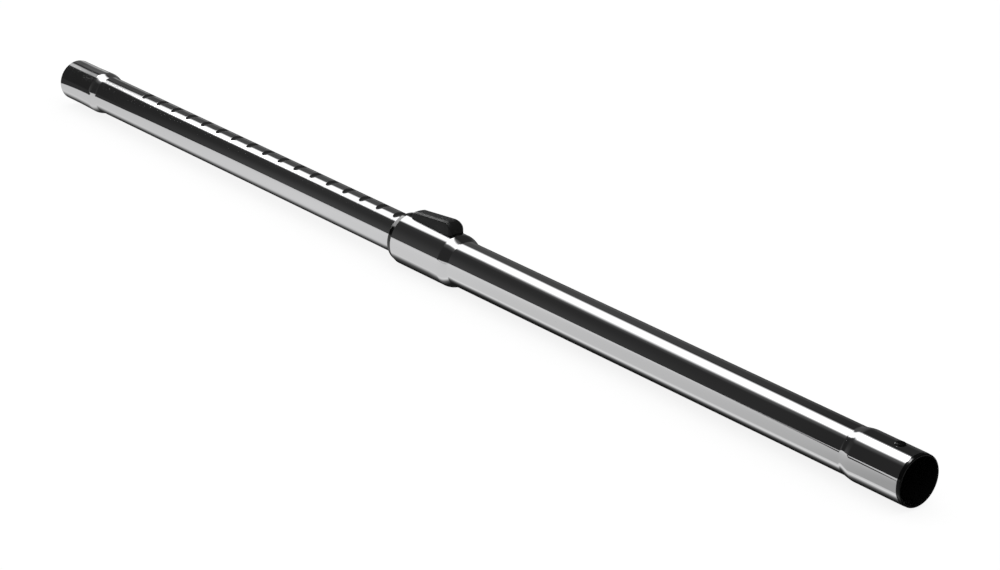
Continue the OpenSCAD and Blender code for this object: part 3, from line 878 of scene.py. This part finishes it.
def spring_tree():
    tree = bpy.data.node_groups.new("return_springs", "GeometryNodeTree")
    tree_input(tree, "Stand", "NodeSocketGeometry")
    tree_input(tree, "Turns", "NodeSocketFloat", COIL_TURNS)
    tree_input(tree, "Wire radius", "NodeSocketFloat", WIRE_D / 2 * MM)
    tree_input(tree, "Apart", "NodeSocketFloat", 2 * SPRING_Y * MM)
    tree_input(tree, "Finish", "NodeSocketMaterial")
    tree.interface.new_socket(name="Springs", in_out="OUTPUT", socket_type="NodeSocketGeometry")
    nodes, links = tree.nodes, tree.links
    given, out = nodes.new("NodeGroupInput"), nodes.new("NodeGroupOutput")
    coil = nodes.new("GeometryNodeCurveSpiral")
    coil.inputs["Resolution"].default_value = 32
    coil.inputs["Start Radius"].default_value = COIL_R * MM
    coil.inputs["End Radius"].default_value = COIL_R * MM
    coil.inputs["Height"].default_value = (SPRING_TO_X - SPRING_FROM_X - WIRE_D) * MM
    section = nodes.new("GeometryNodeCurvePrimitiveCircle")
    section.inputs["Resolution"].default_value = 12
    wire = nodes.new("GeometryNodeCurveToMesh")
    wire.inputs["Fill Caps"].default_value = True
    lay = nodes.new("GeometryNodeTransform")
    lay.inputs["Rotation"].default_value = (0, math.pi / 2, 0)
    lay.inputs["Translation"].default_value = ((SPRING_FROM_X + WIRE_D / 2) * MM, 0,
                                               SPRING_Z * MM)
    pair = nodes.new("GeometryNodeMeshLine")
    pair.inputs["Count"].default_value = 2
    pair.inputs["Start Location"].default_value = (0, -SPRING_Y * MM, 0)
    step = nodes.new("ShaderNodeCombineXYZ")
    place = nodes.new("GeometryNodeInstanceOnPoints")
    real = nodes.new("GeometryNodeRealizeInstances")
    paint_step = nodes.new("GeometryNodeSetMaterial")
    links.new(given.outputs["Turns"], coil.inputs["Rotations"])
    links.new(given.outputs["Wire radius"], section.inputs["Radius"])
    links.new(given.outputs["Apart"], step.inputs["Y"])
    links.new(step.outputs[0], pair.inputs["Offset"])
    links.new(coil.outputs["Curve"], wire.inputs["Curve"])
    links.new(section.outputs["Curve"], wire.inputs["Profile Curve"])
    links.new(wire.outputs["Mesh"], lay.inputs["Geometry"])
    links.new(pair.outputs["Mesh"], place.inputs["Points"])
    links.new(lay.outputs["Geometry"], place.inputs["Instance"])
    links.new(place.outputs["Instances"], real.inputs["Geometry"])
    links.new(real.outputs["Geometry"], paint_step.inputs["Geometry"])
    links.new(given.outputs["Finish"], paint_step.inputs["Material"])
    links.new(paint_step.outputs["Geometry"], out.inputs["Springs"])
    return tree


def make_springs():
    base = new_object("springs_base", bpy.data.meshes.new("springs_base"))
    step = base.modifiers.new("springs", "NODES")
    step.node_group = spring_tree()
    set_input(step, "Turns", float(COIL_TURNS))
    set_input(step, "Wire radius", WIRE_D / 2 * MM)
    set_input(step, "Apart", 2 * SPRING_Y * MM)
    set_input(step, "Finish", drawn_wire)
    mesh = evaluated_mesh(base, "return_springs")
    bpy.data.objects.remove(base)
    turn_outward(mesh)
    return shaded_object("return_springs", mesh, 50)


springs = make_springs()
print("springs:", triangles(springs.data), "triangles")

# %% [markdown]
# The parts that are seen only when the wand is apart keep the frame's form, welded and smoothed:
# the two glide shells, the lip seal, and the cam plate, lock block and cross pin of the lock.

# %% Hidden parts
HIDDEN = (("glide_shell_left", 30, glide_black, "inner", "glide_plastic"),
          ("glide_shell_right", 30, glide_black, "inner", "glide_plastic"),
          ("lip_seal", 30, seal_black, "outer", "seal_rubber"),
          ("cam_plate", 25, zinced_sheet, "slider", "plate_steel"),
          ("lock_block", 30, cast_zinc, "lock", "die_cast"),
          ("cross_pin", 30, drawn_wire, "lock", "plate_steel"))
small_parts = {node: (welded_copy(node, node + "_skin", sharp), finish, body, slot)
               for node, sharp, finish, body, slot in HIDDEN}
for node, (obj, *_) in small_parts.items():
    print(node, triangles(obj.data), "triangles")


# %% [markdown]
# Each piece now gets its finish and rides on the body that carries it, and it stands for the
# frame's piece of the same name. The springs are one object for both of the frame's springs.

# %% Finishes and bodies
PIECES = (
    (outer_tube, chrome, "outer", "chromed_steel", ("outer_tube",)),
    (inner_tube, chrome, "inner", "chromed_steel", ("inner_tube",)),
    (thumb_slider, grained_black, "slider", "slider_moulding", ("thumb_slider",)),
    (guide_bush, polished_black, "outer", "black_moulding", ("guide_bush",)),
    (socket_liner, polished_black, "outer", "black_moulding", ("socket_liner",)),
    (springs, drawn_wire, "outer", "spring_wire", ("return_spring_left", "return_spring_right")),
    *((obj, finish, body, slot, (node,)) for node, (obj, finish, body, slot) in small_parts.items()))

for obj, finish, body, slot, nodes in PIECES:
    obj.data.materials.clear()
    obj.data.materials.append(finish)
    for node in nodes:
        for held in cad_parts[node].material_slots:
            held.material = finish
    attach(obj, body)
    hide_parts(*nodes)
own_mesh(springs)
print(len(PIECES), "pieces painted, on their bodies")

# %% [markdown]
# The wand is seen from its handle end, from the side and a little above, through a long lens, so
# it runs from the lower right to the upper left. The camera's place and turn were worked out from
# the picture's own geometry: the widths of the tube along its length and the ovals of its rims.

# %% Camera
def make_camera():
    data = bpy.data.cameras.new("camera")
    data.lens = 114.8795
    data.sensor_width = 36.0
    data.clip_start, data.clip_end = 0.05, 100.0
    camera = bpy.data.objects.new("camera", data)
    scene.collection.objects.link(camera)
    right = Vector((0.646298, 0.759634, 0.072506))
    up = Vector((-0.309244, 0.173873, 0.934960))
    ahead = Vector((-0.697622, 0.626675, -0.347287))
    turn = Matrix((right, up, -ahead)).transposed()
    camera.rotation_euler = turn.to_euler()
    camera.location = (1.7468, -1.5033, 0.8511)
    scene.camera = camera
    return camera


camera = make_camera()
print("camera at", [round(value, 3) for value in camera.location])

# %% [markdown]
# Chrome has no look of its own: it shows the studio. Product photographers hang a long white
# softbox over such a tube and keep the sides dark, which gives the crisp white band along the top
# with black beside it, and the pale table shows below as light grey. The same is built here. A
# tent lining around the wand carries the softbox and the dark cloth, and only glossy surfaces see
# it, so the even light on the table and the mouldings is left as it is.

# %% Studio: floor and even light
PAPER, PAPER_LIFT = 0.16, 0.857


def stage_object(name, mesh):
    obj = new_object(name, mesh)
    return obj


def plane_mesh(name, x0, x1, y0, y1, z):
    mesh = bpy.data.meshes.new(name)
    mesh.from_pydata([(x0, y0, z), (x1, y0, z), (x1, y1, z), (x0, y1, z)], [], [(0, 1, 2, 3)])
    mesh.update()
    return mesh


def math_node(nodes, links, operation, a, b=None):
    step = nodes.new("ShaderNodeMath")
    step.operation = operation
    for socket, value in zip(step.inputs, (a, b)):
        if value is None:
            continue
        if isinstance(value, (int, float)):
            socket.default_value = value
        else:
            links.new(value, socket)
    return step.outputs[0]


def make_floor():
    floor = stage_object("pale_floor", plane_mesh("pale_floor", -12, 12, -12, 12, -0.0003))
    made = bpy.data.materials.new("pale_floor")
    made.use_nodes = True
    nodes, links = made.node_tree.nodes, made.node_tree.links
    nodes.clear()
    out = nodes.new("ShaderNodeOutputMaterial")
    paper = nodes.new("ShaderNodeBsdfDiffuse")
    paper.inputs["Color"].default_value = (PAPER, PAPER, PAPER, 1)
    lift = nodes.new("ShaderNodeEmission")
    path = nodes.new("ShaderNodeLightPath")
    seen = math_node(nodes, links, "ADD", path.outputs["Is Camera Ray"],
                     path.outputs["Is Glossy Ray"])
    seen = math_node(nodes, links, "ADD", seen, path.outputs["Is Transmission Ray"])
    links.new(math_node(nodes, links, "MULTIPLY", seen, PAPER_LIFT), lift.inputs["Strength"])
    both = nodes.new("ShaderNodeAddShader")
    links.new(paper.outputs[0], both.inputs[0])
    links.new(lift.outputs[0], both.inputs[1])
    links.new(both.outputs[0], out.inputs["Surface"])
    floor.data.materials.append(made)
    return floor


def make_light():
    world = bpy.data.worlds.new("even_white_room")
    scene.world = world
    world.use_nodes = True
    world.node_tree.nodes["Background"].inputs["Color"].default_value = (1, 1, 1, 1)
    world.node_tree.nodes["Background"].inputs["Strength"].default_value = 0.9
    world.cycles_visibility.glossy = False
    data = bpy.data.lights.new("soft_key", "AREA")
    data.shape = "RECTANGLE"
    data.size, data.size_y = 1.8, 1.2
    data.energy = 4.0
    lamp = bpy.data.objects.new("soft_key", data)
    lamp.location = (0.2, 0.1, 1.7)
    lamp.visible_glossy = False
    scene.collection.objects.link(lamp)


make_floor()
make_light()
print("floor and even light ready")

# %% [markdown]
# The lining is a wide drum around the wand's axis. Its brightness depends on the direction around
# the axis, which decides where a band lies on the tube, and on the place along it, which decides
# where the band starts and fades. The overhead softbox has two long edges that are drawn as
# corners, a place along the drum and a direction in degrees, and it is brightest in its middle.
# The dark cloth on both sides is not quite black: it picks up a little light low down.

# %% Studio: tent lining
TENT_R = 2.5
DRUM = (-4.5, 0.5)
BOX_NEAR_EDGE = ((-3.6, 4.0), (-3.5, 9.6), (-3.28, 9.6), (-2.95, 8.7), (-2.65, 9.9), (-2.4, 7.2),
                 (-2.05, 13.0), (-1.81, 15.9), (-1.5, 18.0), (-1.41, 20.2))
BOX_FAR_EDGE = ((-3.75, 18.5), (-3.61, 18.6), (-3.5, 24.0), (-3.28, 26.4), (-3.1, 29.0),
                (-2.9, 28.0), (-2.65, 31.0), (-2.4, 31.6), (-2.17, 27.2), (-1.93, 24.6),
                (-1.6, 21.0), (-1.2, 14.0), (-0.6, 6.0), (0.0, 0.0))
BOX_SOFTNESS = ((-2.9, 3.0), (-2.6, 4.5), (-2.4, 6.0), (-2.2, 8.0), (-1.9, 8.0), (-1.5, 4.0))
BOX_LEVEL = ((-4.0, 0.3), (-3.75, 0.52), (-3.65, 0.75), (-3.5, 0.92), (-3.35, 1.15), (0.25, 1.15),
             (0.5, 0.02))
HOT_MIDDLE = ((-3.52, 0.0), (-3.46, 18.0), (-3.12, 18.0), (-3.0, 0.0))
HOT_END = ((-1.46, 0.0), (-1.40, 15.0), (-1.22, 15.0), (-1.12, 0.0))
END_CARD = ((-7.5, 4.5), (-4.5, 4.5), (-4.25, 0.0))
HALO = ((-2.7, 0.01), (-2.5, 0.03), (-2.3, 0.08), (-1.45, 0.09))
CLOTH = ((-3.8, 0.017), (-3.3, 0.022), (-2.9, 0.028), (-1.61, 0.025), (-1.46, 0.021))
CLOTH_LOW = ((-3.6, 0.0), (-3.4, 0.012), (-3.03, 0.030), (-2.6, 0.022), (-2.1, 0.016),
             (-1.8, 0.004), (-1.61, 0.0))
BACK_CLOTH = ((-3.78, 0.085), (-3.7, 0.038), (-3.4, 0.045), (-2.57, 0.045), (-1.93, 0.032),
              (-1.61, 0.012), (-1.46, 0.002))
BACK_LOW = ((-3.78, 0.52), (-3.7, 0.33), (-3.4, 0.19), (-3.13, 0.11), (-2.57, 0.05), (-1.46, 0.045))
LOW_WALL = ((-1.28, 0.0), (-1.1, 0.55), (0.3, 0.55), (0.5, 0.0))


def soft_step(nodes, links, value, start, end, low=0.0, high=1.0):
    step = nodes.new("ShaderNodeMapRange")
    step.interpolation_type = "SMOOTHSTEP"
    for name, given in (("From Min", start), ("From Max", end), ("To Min", low), ("To Max", high)):
        if isinstance(given, (int, float)):
            step.inputs[name].default_value = given
        else:
            links.new(given, step.inputs[name])
    links.new(value, step.inputs["Value"])
    return step.outputs["Result"]


def line_through(nodes, links, value, span, corners):
    """A value that runs straight from corner to corner, each a place in the span and a height."""
    top = max(height for _, height in corners)
    place = nodes.new("ShaderNodeMapRange")
    place.inputs["From Min"].default_value, place.inputs["From Max"].default_value = span
    links.new(value, place.inputs["Value"])
    ramp = nodes.new("ShaderNodeValToRGB")
    elements = ramp.color_ramp.elements
    while len(elements) < len(corners):
        elements.new(0.5)
    for element, (at, height) in zip(elements, corners):
        element.position = (at - span[0]) / (span[1] - span[0])
        element.color = (height / top, height / top, height / top, 1)
    links.new(place.outputs["Result"], ramp.inputs["Fac"])
    return math_node(nodes, links, "MULTIPLY", ramp.outputs["Color"], top)


def only_glossy(obj):
    obj.visible_camera = False
    obj.visible_diffuse = False
    obj.visible_transmission = False
    obj.visible_volume_scatter = False
    obj.visible_shadow = False


def glow_material(name):
    made = bpy.data.materials.new(name)
    made.use_nodes = True
    nodes, links = made.node_tree.nodes, made.node_tree.links
    nodes.clear()
    out = nodes.new("ShaderNodeOutputMaterial")
    glow = nodes.new("ShaderNodeEmission")
    links.new(glow.outputs[0], out.inputs["Surface"])
    place = nodes.new("ShaderNodeTexCoord")
    parts = nodes.new("ShaderNodeSeparateXYZ")
    links.new(place.outputs["Object"], parts.inputs[0])
    return made, nodes, links, glow, parts


def between_edges(nodes, links, angle, near, far, softness, inset=0.0, far_inset=0.0):
    """1 inside the softbox and 0 outside it, soft at both edges, drawn in by some degrees."""
    start = math_node(nodes, links, "SUBTRACT", near, softness)
    start = math_node(nodes, links, "SUBTRACT", start, inset)
    end = math_node(nodes, links, "ADD", near, softness)
    end = math_node(nodes, links, "SUBTRACT", end, inset)
    before = soft_step(nodes, links, angle, start, end, 1.0, 0.0)
    back = math_node(nodes, links, "SUBTRACT", far_inset + 5.5, far)
    front = math_node(nodes, links, "SUBTRACT", far_inset - 5.5, far)
    behind = soft_step(nodes, links, angle, front, back)
    return math_node(nodes, links, "MULTIPLY", before, behind)


def softbox(nodes, links, x, angle):
    near = line_through(nodes, links, x, DRUM, BOX_NEAR_EDGE)
    far = line_through(nodes, links, x, DRUM, BOX_FAR_EDGE)
    softness = line_through(nodes, links, x, DRUM, BOX_SOFTNESS)
    level = line_through(nodes, links, x, DRUM, BOX_LEVEL)
    whole = between_edges(nodes, links, angle, near, far, softness)
    whole = math_node(nodes, links, "MULTIPLY", whole, level)
    for hot, insets in ((HOT_MIDDLE, (11.0, 17.0)), (HOT_END, (10.0, 8.0))):
        middle = between_edges(nodes, links, angle, near, far, 3.0, *insets)
        strong = line_through(nodes, links, x, DRUM, hot)
        middle = math_node(nodes, links, "MULTIPLY", middle, strong)
        whole = math_node(nodes, links, "ADD", whole, middle)
    halo_end = math_node(nodes, links, "ADD", near, 20.0)
    halo = soft_step(nodes, links, angle, near, halo_end, 1.0, 0.0)
    above = soft_step(nodes, links, angle, -20.0, -10.0)
    halo = math_node(nodes, links, "MULTIPLY", halo, above)
    halo = math_node(nodes, links, "MULTIPLY", halo, line_through(nodes, links, x, DRUM, HALO))
    return math_node(nodes, links, "ADD", whole, halo)


def end_card(nodes, links, x, angle):
    """A bright card beyond the tool end, which only the bush's cone is turned towards."""
    card = soft_step(nodes, links, angle, 28.0, 42.0, 1.0, 0.0)
    card = math_node(nodes, links, "MULTIPLY", card, soft_step(nodes, links, angle, -60.0, -46.0))
    level = line_through(nodes, links, x, (-8.0, 0.5), END_CARD)
    return math_node(nodes, links, "MULTIPLY", card, level)


def cloth(nodes, links, x, angle):
    low = soft_step(nodes, links, angle, 40.0, 88.0)
    low = math_node(nodes, links, "MULTIPLY", low, line_through(nodes, links, x, DRUM, CLOTH_LOW))
    back = soft_step(nodes, links, angle, -26.0, -36.0)
    back = math_node(nodes, links, "MULTIPLY", back,
                     line_through(nodes, links, x, DRUM, BACK_CLOTH))
    rise = soft_step(nodes, links, angle, -62.0, -92.0)
    rise = math_node(nodes, links, "MULTIPLY", rise, line_through(nodes, links, x, DRUM, BACK_LOW))
    total = math_node(nodes, links, "ADD", line_through(nodes, links, x, DRUM, CLOTH), low)
    total = math_node(nodes, links, "ADD", total, back)
    wall = soft_step(nodes, links, angle, 86.0, 88.5)
    wall = math_node(nodes, links, "MULTIPLY", wall, line_through(nodes, links, x, DRUM, LOW_WALL))
    total = math_node(nodes, links, "ADD", total, wall)
    return math_node(nodes, links, "ADD", total, rise)


def tent_material():
    made, nodes, links, glow, parts = glow_material("tent_lining")
    x = parts.outputs["X"]
    towards = math_node(nodes, links, "MULTIPLY", parts.outputs["Y"], -1.0)
    height = math_node(nodes, links, "SUBTRACT", parts.outputs["Z"], AXIS_Z * MM)
    angle = math_node(nodes, links, "ARCTAN2", towards, height)
    angle = math_node(nodes, links, "MULTIPLY", angle, 180 / math.pi)
    total = math_node(nodes, links, "ADD", softbox(nodes, links, x, angle),
                      cloth(nodes, links, x, angle))
    total = math_node(nodes, links, "ADD", total, end_card(nodes, links, x, angle))
    links.new(total, glow.inputs["Strength"])
    return made


def make_tent():
    angles = evenly(96)
    places = [(-8.0, 0.001), (-8.0, TENT_R), (4.5, TENT_R), (4.5, 0.001)]
    rings = [[(x, -r * math.sin(a), AXIS_Z * MM + r * math.cos(a)) for a in angles]
             for x, r in places]
    tent = stage_object("tent_lining", grid_mesh("tent_lining", rings, close_ends=False))
    tent.data.materials.append(tent_material())
    only_glossy(tent)
    return tent


make_tent()
print("tent ready")

# %% [markdown]
# Below the wand the chrome shows the table. The cloth hangs over most of it, and a light patch is
# left free on the camera's side: it reaches close to the handle and runs out wide past the tool
# end. It is light grey, a little darker towards the handle, brightest in a narrow strip close to
# the wand, and dark underneath, where no light comes. Thin cards on the table carry this for the
# glossy surfaces alone. The shade close to the wand follows the distance from the axis, measured
# in radii of the tube above it.

# %% Studio: table cards
TABLE = (-0.6, 0.7)
LIGHT_PATCH = ((3.0, 0.06), (3.0, -0.1), (0.7, -0.1), (0.45, -0.14), (0.33, -0.165),
               (-0.05, -0.5), (-1.0, -1.5), (-1.15, -1.5), (-1.07, -0.92), (-0.8, -0.5),
               (-0.56, -0.23), (-0.51, -0.1), (-0.545, -0.066), (-0.555, -0.02), (-0.555, 0.06))
FAR_PATCH = ((0.40, -0.16), (0.52, -0.3), (0.52, -2.3), (-1.6, -2.3), (-0.9, -1.47))
PATCH_GREY = ((-0.49, 0.585), (-0.39, 0.61), (-0.17, 0.665), (0.0, 0.62), (0.105, 0.57),
              (0.25, 0.53), (0.385, 0.455), (0.46, 0.345))
STRIP_RADIUS = ((-0.06, 16.0), (-0.048, 21.0), (0.0, 21.0), (0.028, 18.0), (0.435, 18.0),
                (0.455, 19.35))
UNDER_THIN = ((-0.06, 1.0), (-0.048, 0.0))
UNDER_COLLAR = ((-0.06, 0.0), (-0.048, 1.0), (0.0, 1.0), (0.028, 0.0))
UNDER_THICK = ((0.0, 0.0), (0.028, 1.0))
THIN_SHADE = ((0.37, 0.02), (0.50, 0.042), (0.64, 0.085), (0.77, 0.185), (0.92, 0.36),
              (1.08, 0.56), (1.26, 0.63))
COLLAR_SHADE = ((0.45, 0.012), (0.62, 0.016), (0.80, 0.060), (0.90, 0.125), (1.02, 0.36),
                (1.155, 0.65))
THICK_SHADE = ((0.45, 0.010), (0.56, 0.018), (0.67, 0.052), (0.78, 0.110), (0.91, 0.385),
               (1.05, 0.745), (1.21, 0.62))
SHADE_DRAWN_OUT = ((0.0, 0.0), (0.03, 0.12), (0.06, 0.155), (0.105, 0.12), (0.25, 0.075),
                   (0.385, 0.045), (0.43, 0.03), (0.46, 0.03))


def flat_card(name, outline, z):
    mesh = bpy.data.meshes.new(name)
    mesh.from_pydata([(x, y, z) for x, y in outline], [], [tuple(range(len(outline)))])
    mesh.update()
    card = stage_object(name, mesh)
    only_glossy(card)
    return card


def dark_card_material():
    made, nodes, links, glow, parts = glow_material("table_cloth")
    behind = soft_step(nodes, links, parts.outputs["Y"], 0.02, 0.10, 0.028, 0.065)
    links.new(behind, glow.inputs["Strength"])
    return made


def patch_material():
    made, nodes, links, glow, parts = glow_material("table_patch")
    grey = line_through(nodes, links, parts.outputs["X"], TABLE, PATCH_GREY)
    links.new(grey, glow.inputs["Strength"])
    return made


def strip_material():
    made, nodes, links, glow, parts = glow_material("table_strip")
    x = parts.outputs["X"]
    radius = line_through(nodes, links, x, TABLE, STRIP_RADIUS)
    reach = math_node(nodes, links, "DIVIDE", parts.outputs["Y"], radius)
    reach = math_node(nodes, links, "MULTIPLY", reach, -1.0 / MM)
    drawn = line_through(nodes, links, x, TABLE, SHADE_DRAWN_OUT)
    reach = math_node(nodes, links, "SUBTRACT", reach, drawn)
    total = 0.0
    for share, shade in ((UNDER_THIN, THIN_SHADE), (UNDER_COLLAR, COLLAR_SHADE),
                         (UNDER_THICK, THICK_SHADE)):
        part = math_node(nodes, links, "MULTIPLY", line_through(nodes, links, x, TABLE, share),
                         line_through(nodes, links, reach, (0.0, 2.0), shade))
        total = math_node(nodes, links, "ADD", part, total)
    links.new(total, glow.inputs["Strength"])
    return made


def make_table():
    dark = flat_card("table_cloth", [(4.5, -2.6), (4.5, 2.6), (-8, 2.6), (-8, -2.6)], 0.00005)
    dark.data.materials.append(dark_card_material())
    light_grey = patch_material()
    for name, outline in (("table_patch", LIGHT_PATCH), ("table_far_patch", FAR_PATCH)):
        flat_card(name, outline, 0.0001).data.materials.append(light_grey)
    near = [(-0.556, -1.36 * 16), (-0.06, -1.36 * 16), (-0.048, -1.25 * 21), (0.0, -1.25 * 21),
            (0.028, -1.4 * 18), (0.435, -1.35 * 18), (0.455, -1.34 * 19.35), (3.0, -1.34 * 19.35)]
    outline = [(x, y * MM) for x, y in near] + [(3.0, 0.03), (-0.556, 0.03)]
    strip = flat_card("table_strip", outline, 0.0002)
    strip.data.materials.append(strip_material())


make_table()
print("table cards ready")

# %% [markdown]
# Last come the picture's own settings. The wand must keep the size that the frame gives it.

# %% View settings
scene.view_settings.view_transform = "Standard"
